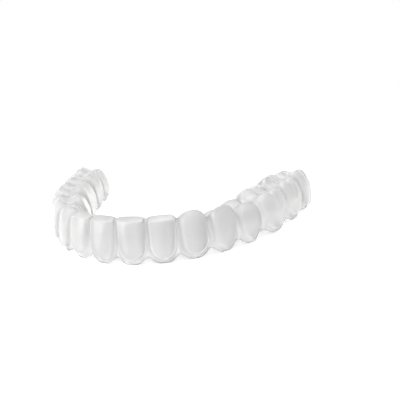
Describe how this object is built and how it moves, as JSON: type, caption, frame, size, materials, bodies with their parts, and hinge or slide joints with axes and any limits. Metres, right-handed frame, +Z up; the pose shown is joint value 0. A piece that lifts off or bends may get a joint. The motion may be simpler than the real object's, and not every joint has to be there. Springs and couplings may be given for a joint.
{
  "type": "clear aligner",
  "caption": "Clear thermoformed orthodontic aligner for a full lower arch, with scalloped trim, open below, resting on its trimmed edge.",
  "frame": {"origin": "centre of the part's plan on the plane that its trimmed edge rests on", "axes": "+Z up from the trimmed edge to the biting surfaces, +X across the mouth to the wearer's left, -Y to the front teeth, +Y to the open back of the arch"},
  "size_m": [0.0702, 0.0494, 0.0101],
  "materials": {
    "clear_plastic": "clear, glossy, slightly milky thermoformed sheet"
  },
  "bodies": {
    "root": {"aligner_shell": "clear_plastic"}
  },
  "joints": []
}
